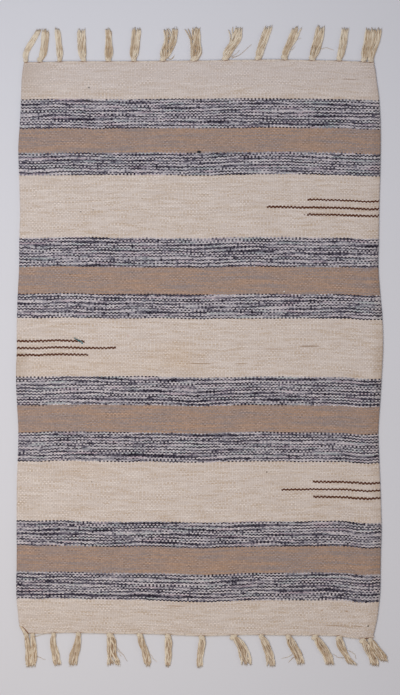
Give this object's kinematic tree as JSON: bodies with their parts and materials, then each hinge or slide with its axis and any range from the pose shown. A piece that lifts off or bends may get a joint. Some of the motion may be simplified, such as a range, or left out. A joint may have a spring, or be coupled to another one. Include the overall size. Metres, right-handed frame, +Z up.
{
  "type": "flat-woven kilim rug with tasselled ends",
  "caption": "Small flat-woven kilim rug, striped across in cream, khaki and mottled blue-grey, with knotted warp-end tassels at both ends, lying flat.",
  "frame": {"origin": "middle of the cloth's flat underside, which lies on the floor", "axes": "+Z up from the floor, +Y along the warps towards the end that is at the top of the picture, +X across the rug"},
  "size_m": [0.6136, 1.0578, 0.0052],
  "materials": {
    "woven_cotton": "matte",
    "fringe_yarn": "matte"
  },
  "bodies": {
    "root": {"rug_field": "woven_cotton", "tassel_top_01": "fringe_yarn", "tassel_top_02": "fringe_yarn", "tassel_top_03": "fringe_yarn", "tassel_top_04": "fringe_yarn", "tassel_top_05": "fringe_yarn", "tassel_top_06": "fringe_yarn", "tassel_top_07": "fringe_yarn", "tassel_top_08": "fringe_yarn", "tassel_top_09": "fringe_yarn", "tassel_top_10": "fringe_yarn", "tassel_top_11": "fringe_yarn", "tassel_top_12": "fringe_yarn", "tassel_top_13": "fringe_yarn", "tassel_top_14": "fringe_yarn", "tassel_top_15": "fringe_yarn", "tassel_bottom_01": "fringe_yarn", "tassel_bottom_02": "fringe_yarn", "tassel_bottom_03": "fringe_yarn", "tassel_bottom_04": "fringe_yarn", "tassel_bottom_05": "fringe_yarn", "tassel_bottom_06": "fringe_yarn", "tassel_bottom_07": "fringe_yarn", "tassel_bottom_08": "fringe_yarn", "tassel_bottom_09": "fringe_yarn", "tassel_bottom_10": "fringe_yarn", "tassel_bottom_11": "fringe_yarn", "tassel_bottom_12": "fringe_yarn", "tassel_bottom_13": "fringe_yarn", "tassel_bottom_14": "fringe_yarn", "tassel_bottom_15": "fringe_yarn"}
  },
  "joints": []
}
